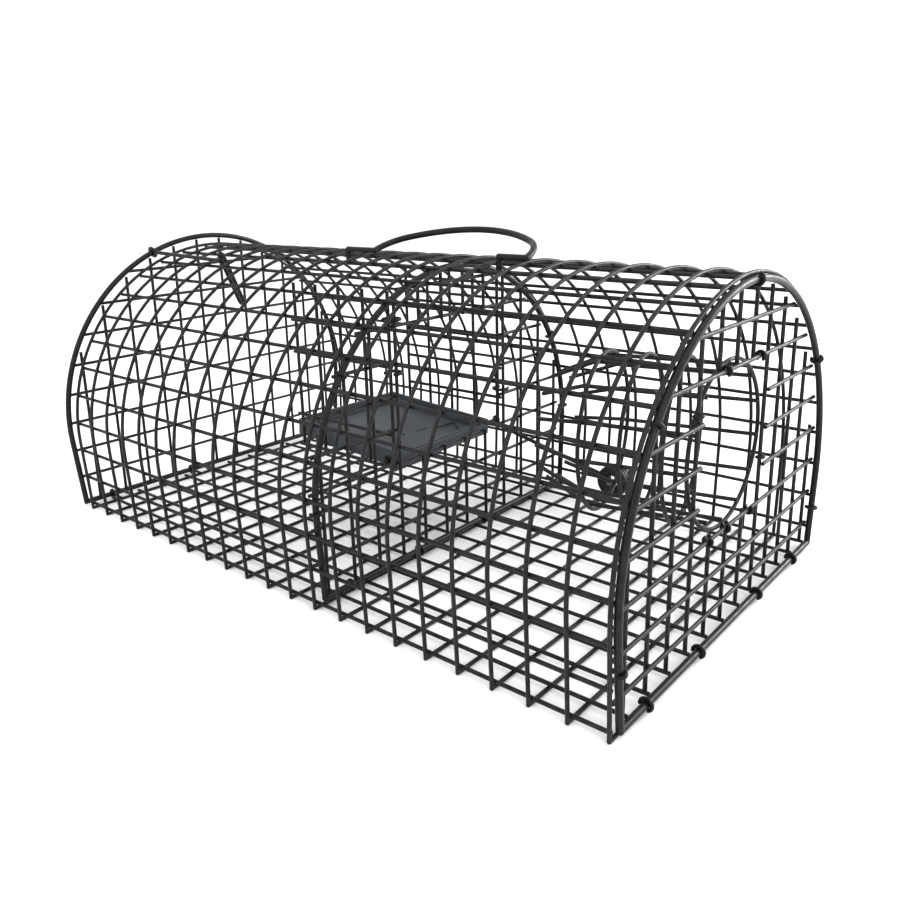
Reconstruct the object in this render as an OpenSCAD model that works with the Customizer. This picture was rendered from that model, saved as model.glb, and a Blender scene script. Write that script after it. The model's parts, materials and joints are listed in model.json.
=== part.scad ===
// Live catch trap: a welded-mesh arched cage with an entrance tube at one end, a tipping
// treadle in a raised tunnel through a middle partition, and a bottom-hinged rear door.
// Millimetres. +X runs from the rear door to the entrance, +Z is up, and the origin is the
// middle of the cage's footprint on the surface it stands on.

/* [Mesh] */
// Spacing of the welded mesh
pitch = 19.05; // [12:0.05:30]
// Cells along the cage
cells = 21; // [14:1:30]
// Diameter of the mesh wire
wire_d = 2; // [1.2:0.1:3]
// Diameter of the stiffening rods
rod_d = 3.5; // [2.5:0.1:5]

/* [Cage section] */
// Half of the width at the feet
foot_y = 114.3; // [80:0.1:150]
// Radius of the arch, to the middle of the wire
arch_r = 116.5; // [80:0.5:160]
// Height of the arch's centre
arch_z = 53.5; // [30:0.5:90]
// Distance along the arch from the near foot to the first long wire
first_wire_s = 21.5; // [5:0.5:30]
// Place of the first floor wire across the cage
first_floor_y = -99; // [-110:0.5:-80]

/* [Entrance] */
// Radius of the mesh tube
tube_r = 39; // [30:0.5:50]
// Hoops of the mesh tube
tube_hoops = 4; // [2:1:6]
// Long wires of the mesh tube
tube_wires = 13; // [8:1:20]
// How far the tube leans sideways, in degrees
tube_yaw = 12; // [0:1:20]
// Length of the bent-in prongs
prong_l = 25; // [10:1:40]
// How far the prongs bend in, in degrees
prong_bend = 24; // [0:1:40]

/* [Treadle] */
// Length of the tray
tray_l = 84; // [50:1:100]
// Width of the tray
tray_w = 83; // [60:1:92]
// Slope of the tray at rest, in degrees
tray_tilt = 4.1; // [0:0.1:8]
// Diameter of the axle wire
axle_d = 2.5; // [2:0.1:4]

/* [Rear door] */
// Radius of the door frame's arch
door_r = 118.5; // [100:0.5:130]
// Lean of the door against the cage, in degrees
door_lean = 1; // [0:0.1:3]

/* [Handle] */
// Distance between the feet of the handle
handle_w = 108; // [80:1:140]
// Height of the handle's bow
handle_h = 33; // [25:1:60]
// How far the handle lies back at rest, in degrees
handle_lean = 70; // [30:1:75]
// Diameter of the handle wire
handle_d = 3.6; // [2.5:0.1:5]

/* [Hidden] */

black = "#2b2b2b";
slate = "#4a4e54";
gap = 0.05;
clip_d = 1.8;
rod_r = rod_d / 2;
wire_r = wire_d / 2;
floor_z = wire_r;
half_l = cells * pitch / 2;

// The straight legs run from the feet up to where they touch the arch.
foot_dist = norm([foot_y, arch_z - floor_z]);
leg_a = atan2(arch_z - floor_z, foot_y) - acos(arch_r / foot_dist);
leg_l = sqrt(foot_dist * foot_dist - arch_r * arch_r);
arch_s = arch_r * (180 + 2 * leg_a) * PI / 180;
total_s = 2 * leg_l + arch_s;

// A point on the cage's outline: s runs from the near foot over the top, inset goes inwards.
function on_arch(a, r) = [-r * cos(a), arch_z + r * sin(a)];
function on_leg(s, inset) = [
    -foot_y - s * sin(leg_a) + inset * cos(leg_a),
    floor_z + s * cos(leg_a) + inset * sin(leg_a)
];
function outline(s, inset = 0) =
    s < leg_l ? on_leg(s, inset)
    : s < leg_l + arch_s ? on_arch((s - leg_l) / arch_r * 180 / PI - leg_a, arch_r - inset)
    : [-on_leg(total_s - s, inset)[0], on_leg(total_s - s, inset)[1]];
function angle_at(s) = (s - leg_l) / arch_r * 180 / PI - leg_a;

// Stiffening rods lie inside the long wires.
rod_inset = wire_r + wire_d + rod_r + gap;
rod_arch_r = arch_r - rod_inset;
function rod_half_y(z, inset = rod_inset) =
    z < arch_z ? foot_y - inset + (arch_r - foot_y) * z / arch_z
    : sqrt(max(0, pow(arch_r - inset, 2) - pow(z - arch_z, 2)));
function rod_top_z(y) = arch_z + sqrt(pow(rod_arch_r, 2) - y * y);
function roof_z(y) = arch_z + sqrt(pow(arch_r - 1.5 * wire_d - 0.1, 2) - pow(abs(y) + wire_r, 2));

// Entrance end, from the outside in: rod, rows, verticals.
entrance_rod_x = half_l + rod_r + gap;
entrance_inset = 2.9;
entrance_foot_y = foot_y - rod_inset;
panel_row_inset = 4;
entrance_rod_z = floor_z + wire_r + rod_r + gap;
entrance_leg_a = atan2(arch_z - entrance_rod_z, entrance_foot_y)
    - acos((arch_r - entrance_inset) / norm([entrance_foot_y, arch_z - entrance_rod_z]));
panel_row_x = entrance_rod_x - rod_r - wire_r - gap;
panel_vertical_x = panel_row_x - wire_d;
panel_first_z = 15.4;
panel_rows = 8;
opening_cells = 4;
opening_y0 = first_floor_y + 3 * pitch;
opening_y1 = opening_y0 + opening_cells * pitch;
opening_z0 = panel_first_z + 2 * pitch;
opening_z1 = opening_z0 + opening_cells * pitch;
opening_y = (opening_y0 + opening_y1) / 2;
opening_z = (opening_z0 + opening_z1) / 2;
tube_x = panel_vertical_x - 3;
tube_wire_ring_r = tube_r - wire_d - gap;
tube_seam_a = 11.5 * 360 / tube_wires;

// Middle partition, and the raised tunnel on its rear side.
middle_rod_x = 31.6;
middle_rod_z = floor_z + 1.5 * wire_d + rod_r + gap;
partition_vertical_x = middle_rod_x - rod_r - wire_r - gap;
partition_row_x = partition_vertical_x - wire_d;
partition_first_z = 22.9;
door_post_y = 2.5 * pitch;
sill_z = partition_first_z + 2 * pitch;
header_z = sill_z + 4 * pitch;
tunnel_x1 = partition_row_x - 2.4;
tunnel_x0 = tunnel_x1 - 4 * pitch;
tunnel_first_z = 58.1;
tunnel_post_y = door_post_y;
tunnel_row_y = tunnel_post_y + wire_d;

// Treadle: the axle turns in two rings that stand on the tunnel's lowest rows.
axle_r = axle_d / 2;
ring_r = 0.8;
axle_x = 21.5;
axle_z = tunnel_first_z + wire_r + axle_r + 0.06 + 2 * ring_r;
tray_y = -3;
tray_top = 3.5;
tray_floor = -1.9;
tray_floor_t = 1.6;
tray_bottom = -6;
tray_ledge_z = 0.4;
tray_ledge_w = 6;
tray_wall = 2;
tray_right = 2.2;
arm_y = 44.4;
weight_x = 89.5;
weight_drop = 20.5;
weight_r = 9.5;
weight_hole_r = 3.6;
weight_w = 8.4;

// Rear door, hinged along its bottom rod.
hinge_x = -half_l - 8.2;
hinge_z = 3.5;
door_arch_z = 54;
door_foot_y = 114.5;
door_vertical_x = 0.8;
door_row_x = door_vertical_x + wire_d;
door_first_z = 19.5;
door_rows = 8;

// Latch bar: an eye round the rear door's frame and a bar that lies over the cage.
latch_d = 2.5;
latch_eye_wire_r = 1.15;
latch_a = 68;
latch_l = 78;
latch_eye_r = rod_r + 0.06 + latch_eye_wire_r;
latch_slope = 1.1;

// Locking link beside the latch bar.
link_d = 2.6;
link_eye_r = wire_r + 0.06 + link_d / 2;
link_x = -half_l + 3 * pitch;
link_a = angle_at(first_wire_s + 9.55 * pitch);
link_drop = 31;
link_lean = -10;

// Handle.
handle_y = -12.5;
handle_z = arch_z + sqrt(pow(arch_r + wire_r + handle_d / 2 + 0.3, 2) - handle_y * handle_y);
handle_x0 = -19;
pin_near_l = 22;
pin_far_l = 17;
tip_l = 7.5;
bow_corner_r = 24;
bow_off = handle_w / 2 - bow_corner_r;
bow_drop = (bow_off * bow_off - pow(handle_h - bow_corner_r, 2)) / (2 * (handle_h - bow_corner_r));
bow_r = handle_h + bow_drop;
bow_a = atan2(bow_drop, bow_off);

// A straight wire from p to q.
module rod(p, q, d = wire_d) {
    v = q - p;
    l = norm(v);
    translate(p)
        rotate([0, acos(v[2] / l), atan2(v[1], v[0])])
            cylinder(h = l, d = d, $fn = 20);
}

// The rounded joint where two lengths of one wire meet.
module bend(p, d = wire_d, swell = 1.04) {
    translate(p)
        sphere(d = d * swell, $fn = 24);
}

// A wire through a list of points.
module bent_wire(points, d = wire_d, swell = 1.15) {
    for (i = [1:len(points) - 1])
        rod(points[i - 1], points[i], d);
    if (len(points) > 2)
        for (i = [1:len(points) - 2])
            bend(points[i], d, swell);
}

// An arc of wire in the plane facing along X, from angle a0 to a1 measured from +Y.
module arc_x(p, r, d, a0, a1) {
    translate(p)
        rotate([90, 0, 90])
            rotate([0, 0, a0])
                rotate_extrude(angle = a1 - a0, $fn = 96)
                    translate([r, 0])
                        circle(d = d, $fn = 20);
}

// An arc of wire in the plane facing along Y, from angle a0 to a1 measured from +X.
module arc_y(p, r, d, a0, a1) {
    translate(p)
        rotate([90, 0, 0])
            rotate([0, 0, a0])
                rotate_extrude(angle = a1 - a0, $fn = 96)
                    translate([r, 0])
                        circle(d = d, $fn = 20);
}

// A closed arched hoop: arch, two legs and a floor wire.
module closed_hoop(x, r, feet, z, centre_z, d) {
    a = atan2(centre_z - z, feet) - acos(r / norm([feet, centre_z - z]));
    arc_x([x, 0, centre_z], r, d, -a, 180 + a);
    for (side = [-1, 1]) {
        top = [x, side * r * cos(a), centre_z - r * sin(a)];
        foot = [x, side * feet, z];
        rod(top, foot, d);
        bend(top, d);
        bend(foot, d);
    }
    rod([x, -feet, z], [x, feet, z], d);
}

// A crimped C ring round a wire at p that runs along the direction given by yaw and pitch.
// The open side faces the angle open_a.
module c_ring(p, turn, open_a, inner_r, open_w = 84) {
    translate(p)
        rotate(turn)
            rotate([0, 0, open_a + open_w / 2])
                rotate_extrude(angle = 360 - open_w, $fn = 48)
                    translate([inner_r + clip_d / 2 + gap, 0])
                        circle(d = clip_d, $fn = 20);
}

// A closed ring whose hole runs along Y.
module ring_y(p, r, d) {
    translate(p)
        rotate([90, 0, 0])
            rotate_extrude($fn = 64)
                translate([r, 0])
                    circle(d = d, $fn = 20);
}

module shell_hoops() {
    color(black)
        for (i = [0:cells])
            closed_hoop(i * pitch - half_l, arch_r, foot_y, floor_z, arch_z, wire_d);
}

module arch_long_wires() {
    color(black)
        for (k = [-1:23]) {
            yz = outline(first_wire_s + k * pitch, wire_d);
            rod([-half_l - 1.1, yz[0], yz[1]], [half_l, yz[0], yz[1]]);
        }
}

module floor_long_wires() {
    color(black)
        for (k = [0:11])
            rod([-half_l - 1.1, first_floor_y + k * pitch, floor_z + wire_d],
                [half_l - 0.9, first_floor_y + k * pitch, floor_z + wire_d]);
}

module entrance_hoop_rod() {
    color(black)
        closed_hoop(
            entrance_rod_x, arch_r - entrance_inset, entrance_foot_y, entrance_rod_z, arch_z, rod_d
        );
}

module middle_hoop_rod() {
    color(black)
        closed_hoop(middle_rod_x, rod_arch_r, foot_y - rod_inset, middle_rod_z, arch_z, rod_d);
}

module entrance_panel_verticals() {
    color(black)
        for (k = [0:11]) {
            y = first_floor_y + k * pitch;
            top = roof_z(y);
            foot = floor_z + 1.5 * wire_d + 0.1;
            if (k > 3 && k < 7) {
                rod([panel_vertical_x, y, foot], [panel_vertical_x, y, opening_z0 + wire_r]);
                rod([panel_vertical_x, y, opening_z1 - wire_r], [panel_vertical_x, y, top]);
            } else {
                rod([panel_vertical_x, y, foot], [panel_vertical_x, y, top]);
            }
        }
}

module entrance_panel_rows() {
    color(black)
        for (j = [0:panel_rows - 1]) {
            z = panel_first_z + j * pitch;
            end = rod_half_y(z, panel_row_inset);
            if (j > 2 && j < 6) {
                rod([panel_row_x, -end, z], [panel_row_x, opening_y0 + wire_r, z]);
                rod([panel_row_x, opening_y1 - wire_r, z], [panel_row_x, end, z]);
            } else {
                rod([panel_row_x, -end, z], [panel_row_x, end, z]);
            }
        }
}

// The entrance tube is drawn along -X from the middle of its mouth, then turned to the near side.
module tube_place() {
    color(black)
        translate([tube_x, opening_y, opening_z])
            rotate([0, 0, tube_yaw])
                children();
}

module tube_hoop(r) {
    rotate([0, 90, 0])
        rotate_extrude($fn = 96)
            translate([r, 0])
                circle(d = wire_d, $fn = 20);
}

// The first hoop lies flat behind the panel, and the others stand square to the tube.
module entrance_tube_hoops() {
    tube_place() {
        rotate([0, 0, -tube_yaw])
            tube_hoop(tube_r + 0.9);
        for (i = [1:tube_hoops - 1])
            translate([-i * pitch, 0, 0])
                tube_hoop(tube_r);
    }
}

module tube_wire(mouth) {
    knee = [-(tube_hoops - 1) * pitch - 2.5, 0, 0];
    rod([mouth, 0, 0], knee);
    bend(knee, wire_d, 1.06);
    rod(knee, knee + prong_l * [-cos(prong_bend), 0, -sin(prong_bend)]);
}

module entrance_tube_wires() {
    tube_place()
        for (k = [0:tube_wires - 1]) {
            a = (k + 0.5) * 360 / tube_wires;
            rotate([a, 0, 0])
                translate([0, 0, tube_wire_ring_r])
                    tube_wire(1 - tube_wire_ring_r * sin(a) * tan(tube_yaw));
        }
}

module partition_verticals() {
    ys = [for (k = [0:5]) (k + 0.5) * pitch];
    color(black)
        for (side = [-1, 1], k = [0:5]) {
            y = side * ys[k];
            foot = [partition_vertical_x, y, floor_z + 1.5 * wire_d + 0.1];
            if (ys[k] < door_post_y) {
                rod(foot, [partition_vertical_x, y, sill_z + wire_r]);
                rod([partition_vertical_x, y, header_z - wire_r], [partition_vertical_x, y, rod_top_z(y)]);
            } else {
                rod(foot, [partition_vertical_x, y, rod_top_z(y)]);
            }
        }
}

module partition_rows() {
    notch_y0 = 1.5 * pitch + wire_r;
    color(black)
        for (j = [0:7]) {
            z = partition_first_z + j * pitch;
            end = rod_half_y(z);
            if (j > 2 && j < 6) {
                rod([partition_row_x, -end, z], [partition_row_x, wire_r - door_post_y, z]);
                rod([partition_row_x, door_post_y - wire_r, z], [partition_row_x, end, z]);
            } else if (j == 2) {
                rod([partition_row_x, -end, z], [partition_row_x, notch_y0, z]);
                rod([partition_row_x, door_post_y - wire_r, z], [partition_row_x, end, z]);
            } else {
                rod([partition_row_x, -end, z], [partition_row_x, end, z]);
            }
        }
}

module tunnel_wall(side) {
    post_top = arch_z + sqrt(pow(arch_r - 1.5 * wire_d - 0.2, 2) - pow(tunnel_post_y, 2));
    for (k = [0:4])
        rod([tunnel_x0 + k * pitch, side * tunnel_post_y, tunnel_first_z - wire_r],
            [tunnel_x0 + k * pitch, side * tunnel_post_y, post_top - 0.6]);
    for (j = [0:4])
        rod([tunnel_x0 - wire_r, side * tunnel_row_y, tunnel_first_z + j * pitch],
            [tunnel_x1 + wire_r, side * tunnel_row_y, tunnel_first_z + j * pitch]);
}

module tunnel_near_wall() {
    color(black)
        tunnel_wall(-1);
}

module tunnel_far_wall() {
    color(black)
        tunnel_wall(1);
}

module treadle_pivot_rings() {
    color(black)
        for (side = [-1, 1])
            ring_y([axle_x, side * tunnel_row_y, axle_z], axle_r + 0.06 + ring_r, 2 * ring_r);
}

// Rings along the foot of the entrance rod, round its legs, and round its arch between the long
// wires. Their open sides face the end hoop.
module entrance_panel_clips() {
    feet = [-88, -38, 31, 82];
    legs = [[-1, 30.3], [1, 25]];
    spots = [5.65, 11.3, 17.35];
    color(black) {
        for (y = feet)
            c_ring([entrance_rod_x, y, entrance_rod_z], [90, 0, 0], 238, rod_r, 100);
        for (leg = legs) {
            y = entrance_foot_y + (leg[1] - entrance_rod_z) * tan(entrance_leg_a);
            turn = leg[0] < 0 ? entrance_leg_a : 180 - entrance_leg_a;
            c_ring([entrance_rod_x, leg[0] * y, leg[1]], [turn, 0, 0], 238, rod_r, 100);
        }
        for (k = spots) {
            s = first_wire_s + k * pitch;
            yz = outline(s, entrance_inset);
            c_ring([entrance_rod_x, yz[0], yz[1]], [-angle_at(s), 0, 0], 238, rod_r, 100);
        }
    }
}

// Rings round the panel's wires at the edge of the opening, and two along the tube's seam.
module entrance_tube_clips() {
    color(black) {
        for (y = [-28.5, -9.1, 18.5])
            c_ring([panel_row_x, y, opening_z0], [90, 0, 0], 90, wire_r, 50);
        for (y = [-19.5, 19.8])
            c_ring([panel_row_x, y, opening_z1], [90, 0, 0], 270, wire_r, 50);
        c_ring([panel_vertical_x, opening_y0, 114.5], [0, 0, 0], 180, wire_r, 110);
        c_ring([panel_vertical_x, opening_y1, 76], [0, 0, 0], 180, wire_r, 120);
    }
    tube_place()
        rotate([tube_seam_a, 0, 0])
            for (k = [0, 1])
                c_ring([-(k + 0.5) * pitch, 0, tube_wire_ring_r], [0, 90, 0], 0, wire_r, 50);
}

module partition_clips() {
    color(black) {
        for (y = [-91.5, -37.5, 21])
            c_ring([middle_rod_x, y, middle_rod_z], [90, 0, 0], 250, rod_r);
        for (k = [1.6, 5.5, 17.5, 20.5]) {
            s = first_wire_s + k * pitch;
            yz = outline(s, rod_inset);
            c_ring([middle_rod_x, yz[0], yz[1]], [-angle_at(s), 0, 0], 180, rod_r, 110);
        }
    }
}

// Rings round a partition upright and the tunnel post behind it.
module tunnel_clips() {
    color(black)
        for (spot = [[-1, 112], [-1, 141], [1, 84], [1, 131]])
            translate([partition_vertical_x - 2, spot[0] * tunnel_post_y, spot[1]])
                c_ring([0, 0, 0], [0, 0, 0], spot[0] * 90, 3.6);
}

// Each clip is a closed eye round the door's bottom rod with a tail over the first hoop.
module door_hinge_clips() {
    eye_r1 = rod_r + 0.06 + clip_d / 2;
    color(black)
        for (y = [-95.5, -32, 31.6]) {
            ring_y([hinge_x, y, hinge_z], eye_r1, clip_d);
            rod([hinge_x + eye_r1, y, hinge_z], [-half_l + 3, y, 2 * wire_r + clip_d / 2 + gap], clip_d);
        }
}

// A box that lies inside the tray's outline by the given inset, between two heights.
module tray_block(inset, z0, z1) {
    translate([tray_right - tray_l + inset, tray_y - tray_w / 2 + inset, z0])
        cube([tray_l - 2 * inset, tray_w - 2 * inset, z1 - z0]);
}

// The tray is drawn flat with the axle at the origin: a floor with a ledge and a rim round it,
// a skirt below, two slots and a three-cornered recess.
module tray_shape() {
    difference() {
        tray_block(0, tray_bottom, tray_top);
        tray_block(tray_wall, tray_ledge_z, tray_top + 1);
        tray_block(tray_ledge_w, tray_floor, tray_top + 1);
        tray_block(tray_wall, tray_bottom - 1, tray_floor - tray_floor_t);
        translate([tray_right - tray_wall - 1, tray_y - tray_w / 2 + 8, 1])
            cube([tray_wall + 2, tray_w - 16, tray_top]);
        translate([-30, -10, tray_bottom])
            cube([5, 1.6, tray_top - tray_bottom]);
        translate([-25, 0, tray_bottom])
            cube([1.6, 10, tray_top - tray_bottom]);
        translate([0, 0, tray_floor - 1.1])
            linear_extrude(tray_top)
                polygon([[-22, 12], [-5, 20], [-20, 31]]);
        translate([0, -tray_w, 0])
            rotate([-90, 0, 0])
                cylinder(h = 2 * tray_w, r = axle_r + 0.02, $fn = 40);
    }
}

module treadle_tray() {
    color(slate)
        translate([axle_x, 0, axle_z])
            rotate([0, tray_tilt, 0])
                tray_shape();
}

// One wire: the axle, and an arm on the far side that runs down to the counterweight.
module treadle_axle_wire() {
    reach = norm([weight_x, weight_drop]);
    stop = (reach - weight_r - gap) / reach;
    color(black)
        translate([axle_x, 0, axle_z]) {
            rod([0, -tunnel_row_y - 2.4, 0], [0, tunnel_row_y + 2.4, 0], axle_d);
            rod([0, arm_y, 0], [weight_x * stop, arm_y, -weight_drop * stop], axle_d * 0.94);
        }
}

// Several turns of thick wire, closed up into one ring.
module counterweight() {
    turn_r = 3;
    color(black)
        translate([axle_x + weight_x, arm_y, axle_z - weight_drop])
            rotate([90, 0, 0])
                rotate_extrude($fn = 64)
                    union() {
                        for (k = [-1:1])
                            translate([weight_r - turn_r, k * 2.4])
                                circle(r = turn_r - 0.1, $fn = 32);
                        translate([weight_hole_r + 0.4, -2.8])
                            square([4.4, 5.6]);
                    }
}

// The door is drawn upright with its hinge line at the origin, then leaned on the cage.
module door_place() {
    color(black)
        translate([hinge_x, 0, hinge_z])
            rotate([0, door_lean, 0])
                children();
}

function door_half_y(z) = z < door_arch_z
    ? door_foot_y + (door_r - door_foot_y) * z / door_arch_z
    : sqrt(pow(door_r, 2) - pow(z - door_arch_z, 2));

module door_frame_rod() {
    door_place()
        closed_hoop(0, door_r, door_foot_y, 0, door_arch_z, rod_d);
}

module door_verticals() {
    door_place()
        for (k = [0:11]) {
            y = first_floor_y + k * pitch - 5.7;
            top = door_arch_z + sqrt(pow(door_r - rod_r - 0.1, 2) - pow(abs(y) + wire_r, 2));
            rod([door_vertical_x, y, rod_r + 0.2], [door_vertical_x, y, top]);
        }
}

module door_rows() {
    door_place()
        for (j = [0:door_rows - 1]) {
            z = door_first_z + j * pitch;
            rod([door_row_x, -door_half_y(z) + 0.4, z], [door_row_x, door_half_y(z) - 0.4, z]);
        }
}

// The latch is drawn along X from the top of the door's frame, then turned round to its place.
module latch_bar() {
    door_place()
        translate([0, 0, door_arch_z])
            rotate([90 - latch_a, 0, 0])
                translate([0, 0, door_r]) {
                    ring_y([0, 0, 0], latch_eye_r, 2 * latch_eye_wire_r);
                    rotate([0, latch_slope, 0])
                        rod([latch_eye_r, 0, 0.15], [latch_l, 0, 0.15], latch_d);
                }
}

// A narrow closed link that hangs inside the cage from a hoop wire.
module latch_link() {
    color(black)
        translate([link_x, 0, arch_z])
            rotate([90 - link_a, 0, 0])
                translate([0, 0, arch_r])
                    rotate([0, link_lean, 0]) {
                        arc_y([0, 0, 0], link_eye_r, link_d, 0, 180);
                        arc_y([0, 0, -link_drop], link_eye_r, link_d, 180, 360);
                        for (side = [-1, 1]) {
                            rod([side * link_eye_r, 0, 0], [side * link_eye_r, 0, -link_drop], link_d);
                            bend([side * link_eye_r, 0, 0], link_d);
                            bend([side * link_eye_r, 0, -link_drop], link_d);
                        }
                    }
}

// Drawn upright about its hinge line: the bow, a pin at each foot that lies along the cage, and
// a tip at the end of each pin that points down between the wires when the bow lies back.
module handle_shape() {
    half = handle_w / 2;
    tip = tip_l * [0, sin(handle_lean), -cos(handle_lean)];
    arc_y([bow_off, 0, 0], bow_corner_r, handle_d, 0, bow_a);
    arc_y([-bow_off, 0, 0], bow_corner_r, handle_d, 180 - bow_a, 180);
    arc_y([0, 0, -bow_drop], bow_r, handle_d, bow_a, 180 - bow_a);
    for (side = [-1, 1]) {
        pin_l = side < 0 ? pin_near_l : pin_far_l;
        foot = [side * half, 0, 0];
        end = foot - [pin_l, 0, 0];
        bend([side * bow_r * cos(bow_a), 0, bow_r * sin(bow_a) - bow_drop], handle_d);
        bend(foot, handle_d);
        rod(foot, end, handle_d);
        bend(end, handle_d);
        rod(end, end + tip, handle_d);
    }
}

module handle_bail() {
    color(black)
        translate([handle_x0 + handle_w / 2, handle_y, handle_z])
            rotate([-handle_lean, 0, 0])
                handle_shape();
}

shell_hoops();
arch_long_wires();
floor_long_wires();
entrance_hoop_rod();
middle_hoop_rod();
entrance_panel_verticals();
entrance_panel_rows();
entrance_tube_hoops();
entrance_tube_wires();
partition_verticals();
partition_rows();
tunnel_near_wall();
tunnel_far_wall();
treadle_pivot_rings();
entrance_panel_clips();
entrance_tube_clips();
partition_clips();
tunnel_clips();
door_hinge_clips();
treadle_tray();
treadle_axle_wire();
counterweight();
door_frame_rod();
door_verticals();
door_rows();
latch_bar();
latch_link();
handle_bail();
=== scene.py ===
"""Looks of the live catch trap: coated steel wire, slate plastic treadle, pale studio floor."""

import json
import math

import bpy
from mathutils import Matrix, Vector

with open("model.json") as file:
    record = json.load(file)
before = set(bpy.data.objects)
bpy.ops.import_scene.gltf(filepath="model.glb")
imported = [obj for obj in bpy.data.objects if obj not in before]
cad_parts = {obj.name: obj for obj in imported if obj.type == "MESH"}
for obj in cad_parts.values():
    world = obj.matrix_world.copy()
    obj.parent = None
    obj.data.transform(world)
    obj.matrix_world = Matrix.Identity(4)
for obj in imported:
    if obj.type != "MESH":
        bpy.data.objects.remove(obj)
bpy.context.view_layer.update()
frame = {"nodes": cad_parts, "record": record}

# ---------------------------------------------------------------- driving values, in metres
CAMERA_PLACE = Vector((0.3352, -0.3612, 0.2117))
CAMERA_AZIMUTH = math.radians(40.09)
CAMERA_ELEVATION = math.radians(15.68)
CAMERA_ROLL = math.radians(-1.33)
CAMERA_LENS_MM = 33.39
CAMERA_SENSOR_MM = 36.0
CAMERA_SHIFT = (-0.0087, -0.0409)
CAMERA_NEAR = 0.01
CAMERA_FAR = 50.0

WIRE_TONE = (0.0075, 0.0075, 0.0080)
ROD_TONE = (0.0050, 0.0050, 0.0055)
CLIP_TONE = (0.0035, 0.0035, 0.0040)
RUBBED_TONE = (0.09, 0.09, 0.095)
SLATE_TONE = (0.042, 0.048, 0.056)
BACKDROP_TONE = (0.93, 0.93, 0.935)
PLASTIC_IOR = 1.45
COATING_SHINE = 0.2
SLATE_SHINE = 0.3

SKY_COLOUR = (1.0, 1.0, 1.0, 1.0)
SKY_STRENGTH = 1.2
# Each softbox: name, place, the point it faces, width and height, power in watts.
SOFTBOXES = (
    ("softbox_top", (0.2, -0.1, 1.5), (0.0, 0.0, 0.1), (1.8, 1.2), 8.0),
    ("softbox_right", (1.5, -0.5, 0.9), (0.1, 0.0, 0.1), (0.7, 0.7), 8.0),
    ("softbox_front", (-0.3, -1.7, 0.9), (0.0, 0.0, 0.1), (1.0, 0.7), 6.0),
    ("softbox_back", (0.95, 1.7, 0.7), (0.2, 0.0, 0.1), (1.0, 0.8), 40.0),
)

FLOOR_HALF_WIDTH = 6.0
FLOOR_FRONT = -3.0
FLOOR_BACK = 2.2
SWEEP_RADIUS = 1.5
SWEEP_STEPS = 24
BACKDROP_TOP = 5.0

# Sockets of a Mix node that mixes colours.
MIX_FACTOR = 0
MIX_A = 6
MIX_B = 7
MIX_RESULT = 2


# ---------------------------------------------------------------- materials
class Nodes:
    """Short calls for building one material's node tree."""

    def __init__(self, name):
        self.material = bpy.data.materials.new(name)
        self.material.use_nodes = True
        self.tree = self.material.node_tree
        self.tree.nodes.clear()
        self.place = self.tree.nodes.new("ShaderNodeTexCoord").outputs["Object"]

    def link(self, out, into):
        self.tree.links.new(out, into)

    def mapped(self, scale):
        """The object's own coordinates, stretched by scale along each axis."""
        node = self.tree.nodes.new("ShaderNodeMapping")
        node.inputs["Scale"].default_value = scale
        self.link(self.place, node.inputs["Vector"])
        return node.outputs["Vector"]

    def noise(self, scale, detail=4.0, rough=0.55, at=None):
        node = self.tree.nodes.new("ShaderNodeTexNoise")
        node.inputs["Scale"].default_value = scale
        node.inputs["Detail"].default_value = detail
        node.inputs["Roughness"].default_value = rough
        self.link(at or self.place, node.inputs["Vector"])
        return node.outputs["Fac"]

    def ramp(self, fac, low, high, dark=0.0, light=1.0):
        """fac mapped smoothly so that low gives dark and high gives light."""
        node = self.tree.nodes.new("ShaderNodeMapRange")
        node.interpolation_type = "SMOOTHSTEP"
        node.inputs["From Min"].default_value = low
        node.inputs["From Max"].default_value = high
        node.inputs["To Min"].default_value = dark
        node.inputs["To Max"].default_value = light
        self.link(fac, node.inputs["Value"])
        return node.outputs["Result"]

    def mix(self, fac, a, b):
        """Colour a to colour b by fac. Each is a tuple or a socket."""
        node = self.tree.nodes.new("ShaderNodeMix")
        node.data_type = "RGBA"
        self.link(fac, node.inputs[MIX_FACTOR])
        for index, value in ((MIX_A, a), (MIX_B, b)):
            if isinstance(value, tuple):
                node.inputs[index].default_value = (*value, 1.0)
            else:
                self.link(value, node.inputs[index])
        return node.outputs[MIX_RESULT]

    def bump(self, height, strength, distance, below=None):
        """A normal from height, laid over the normal below if there is one."""
        node = self.tree.nodes.new("ShaderNodeBump")
        node.inputs["Strength"].default_value = strength
        node.inputs["Distance"].default_value = distance
        self.link(height, node.inputs["Height"])
        if below:
            self.link(below, node.inputs["Normal"])
        return node.outputs["Normal"]

    def surface(self, colour, roughness, normal, **constants):
        """The finished material. A constant's name is its socket's, with _ for each space."""
        shader = self.tree.nodes.new("ShaderNodeBsdfPrincipled")
        out = self.tree.nodes.new("ShaderNodeOutputMaterial")
        self.link(colour, shader.inputs["Base Color"])
        self.link(roughness, shader.inputs["Roughness"])
        self.link(normal, shader.inputs["Normal"])
        for name, value in constants.items():
            shader.inputs[name.replace("_", " ")].default_value = value
        self.link(shader.outputs["BSDF"], out.inputs["Surface"])
        return self.material


def scaled(tone, k):
    return tuple(c * k for c in tone)


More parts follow.
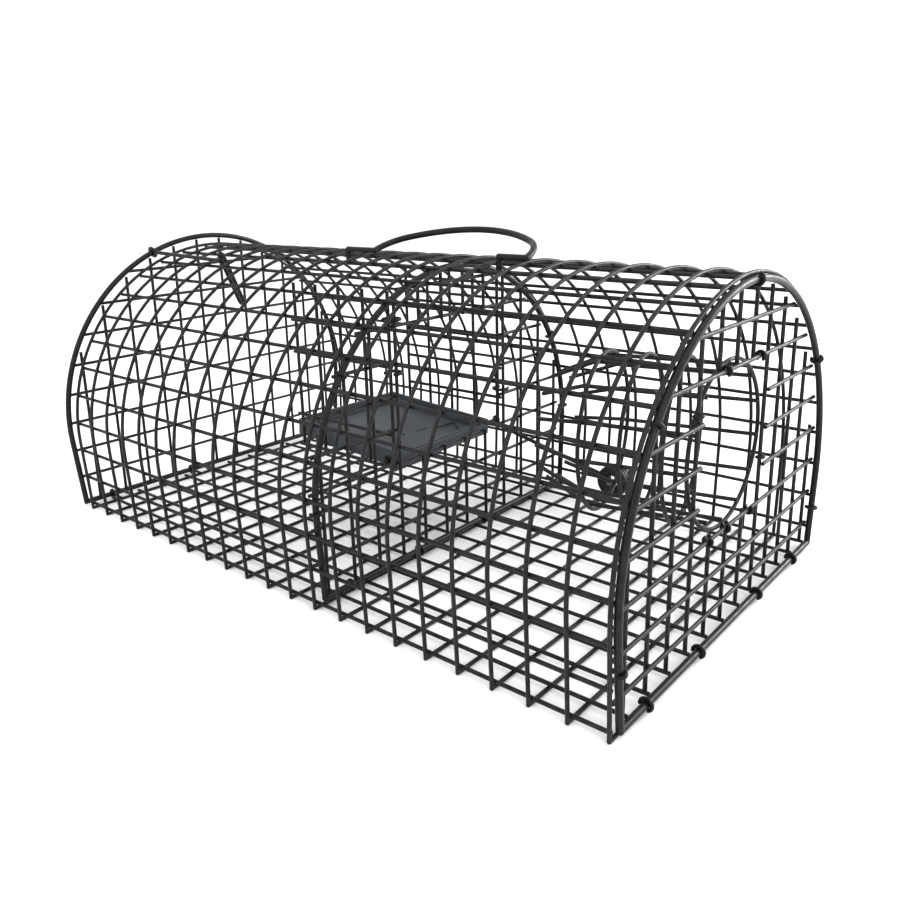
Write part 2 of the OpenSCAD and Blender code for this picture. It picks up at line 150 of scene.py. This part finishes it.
def coated_wire(name, tone, rough_low, rough_high, wear):
    """Black dip coating on steel: uneven tone, orange peel, pale patches where the noise passes wear."""
    n = Nodes(name)
    broad = n.noise(scale=26.0, detail=3.0)
    patch = n.noise(scale=210.0, detail=5.0, rough=0.6)
    grain = n.noise(scale=2300.0, detail=3.0, rough=0.6)
    drift = n.mix(n.ramp(broad, 0.35, 0.68), scaled(tone, 0.72), scaled(tone, 1.55))
    mottled = n.mix(n.ramp(patch, 0.42, 0.66), drift, scaled(tone, 2.1))
    rubbed = n.mix(n.ramp(patch, wear, wear + 0.07), mottled, RUBBED_TONE)
    roughness = n.ramp(patch, 0.3, 0.7, rough_low, rough_high)
    coarse = n.bump(patch, strength=0.25, distance=0.00022)
    fine = n.bump(grain, strength=0.30, distance=0.00005, below=coarse)
    return n.surface(rubbed, roughness, fine, IOR=PLASTIC_IOR, Specular_IOR_Level=COATING_SHINE)


def slate_plastic(name, tone):
    """Moulded slate plastic: fine spark-eroded grain, and paler scuffs drawn out along X."""
    n = Nodes(name)
    broad = n.noise(scale=22.0, detail=3.0)
    grain = n.noise(scale=1500.0, detail=4.0, rough=0.65)
    scuff = n.noise(scale=90.0, detail=6.0, rough=0.7, at=n.mapped((1.0, 5.0, 1.0)))
    base = n.mix(n.ramp(broad, 0.3, 0.7), scaled(tone, 0.82), scaled(tone, 1.25))
    worn = n.mix(n.ramp(scuff, 0.60, 0.74, 0.0, 0.5), base, scaled(tone, 2.0))
    roughness = n.ramp(grain, 0.3, 0.7, 0.46, 0.68)
    coarse = n.bump(scuff, strength=0.15, distance=0.0002)
    fine = n.bump(grain, strength=0.35, distance=0.00008, below=coarse)
    return n.surface(worn, roughness, fine, IOR=PLASTIC_IOR, Specular_IOR_Level=SLATE_SHINE)


def pale_floor(name, tone):
    """Matt studio floor, very nearly even."""
    n = Nodes(name)
    broad = n.noise(scale=1.2, detail=2.0)
    colour = n.mix(n.ramp(broad, 0.3, 0.7), scaled(tone, 0.995), tone)
    roughness = n.ramp(broad, 0.2, 0.8, 0.75, 0.85)
    fine = n.bump(n.noise(scale=90.0), strength=0.02, distance=0.0005)
    return n.surface(colour, roughness, fine)


def dress_cad_nodes(materials):
    """Each CAD node takes the material of its record slot."""
    for part in frame["record"]["subparts"]:
        node = frame["nodes"][part["node"]]
        node.data.materials.clear()
        node.data.materials.append(materials[part["material_slot"]])


# ---------------------------------------------------------------- studio
def backdrop(material):
    """A floor that sweeps up behind the object, square to the camera."""
    profile = [(FLOOR_FRONT, 0.0), (FLOOR_BACK, 0.0)]
    for i in range(1, SWEEP_STEPS + 1):
        a = math.pi / 2 * i / SWEEP_STEPS
        profile.append((FLOOR_BACK + SWEEP_RADIUS * math.sin(a), SWEEP_RADIUS * (1 - math.cos(a))))
    profile.append((FLOOR_BACK + SWEEP_RADIUS, BACKDROP_TOP))
    points = [(x, y, z) for y, z in profile for x in (-FLOOR_HALF_WIDTH, FLOOR_HALF_WIDTH)]
    faces = [(2 * i, 2 * i + 1, 2 * i + 3, 2 * i + 2) for i in range(len(profile) - 1)]
    mesh = bpy.data.meshes.new("studio_floor")
    mesh.from_pydata(points, [], faces)
    mesh.polygons.foreach_set("use_smooth", [True] * len(faces))
    mesh.materials.append(material)
    floor = bpy.data.objects.new("studio_floor", mesh)
    floor.rotation_euler = (0.0, 0.0, CAMERA_AZIMUTH)
    bpy.context.scene.collection.objects.link(floor)


def area_light(name, place, target, size, power):
    """A rectangular light at place that faces target."""
    data = bpy.data.lights.new(name, "AREA")
    data.shape = "RECTANGLE"
    data.size, data.size_y = size
    data.energy = power
    light = bpy.data.objects.new(name, data)
    light.location = place
    light.rotation_euler = (Vector(target) - Vector(place)).to_track_quat("-Z", "Y").to_euler()
    bpy.context.scene.collection.objects.link(light)


def studio_light():
    """An even white sky and the softboxes."""
    world = bpy.data.worlds.new("studio")
    world.use_nodes = True
    sky = world.node_tree.nodes["Background"]
    sky.inputs["Color"].default_value = SKY_COLOUR
    sky.inputs["Strength"].default_value = SKY_STRENGTH
    bpy.context.scene.world = world
    for softbox in SOFTBOXES:
        area_light(*softbox)


def camera():
    """The photograph's viewpoint, as fitted to the mesh's crossings."""
    forward = Vector((
        -math.sin(CAMERA_AZIMUTH) * math.cos(CAMERA_ELEVATION),
        math.cos(CAMERA_AZIMUTH) * math.cos(CAMERA_ELEVATION),
        -math.sin(CAMERA_ELEVATION),
    ))
    level = Vector((math.cos(CAMERA_AZIMUTH), math.sin(CAMERA_AZIMUTH), 0.0))
    upright = level.cross(forward)
    right = math.cos(CAMERA_ROLL) * level + math.sin(CAMERA_ROLL) * upright
    up = math.cos(CAMERA_ROLL) * upright - math.sin(CAMERA_ROLL) * level
    turn = Matrix((right, up, -forward)).transposed()
    data = bpy.data.cameras.new("camera")
    data.lens = CAMERA_LENS_MM
    data.sensor_width = CAMERA_SENSOR_MM
    data.shift_x, data.shift_y = CAMERA_SHIFT
    data.clip_start = CAMERA_NEAR
    data.clip_end = CAMERA_FAR
    cam = bpy.data.objects.new("camera", data)
    cam.matrix_world = Matrix.Translation(CAMERA_PLACE) @ turn.to_4x4()
    bpy.context.scene.collection.objects.link(cam)
    bpy.context.scene.camera = cam


dress_cad_nodes({
    "black_wire": coated_wire("black_coated_wire", WIRE_TONE, 0.34, 0.52, 0.72),
    "black_rod": coated_wire("black_coated_rod", ROD_TONE, 0.28, 0.46, 0.74),
    "black_clip": coated_wire("black_clip_wire", CLIP_TONE, 0.36, 0.55, 0.76),
    "slate_plastic": slate_plastic("slate_plastic", SLATE_TONE),
})
backdrop(pale_floor("pale_studio_floor", BACKDROP_TONE))
studio_light()
camera()
bpy.context.scene.view_settings.view_transform = "Standard"
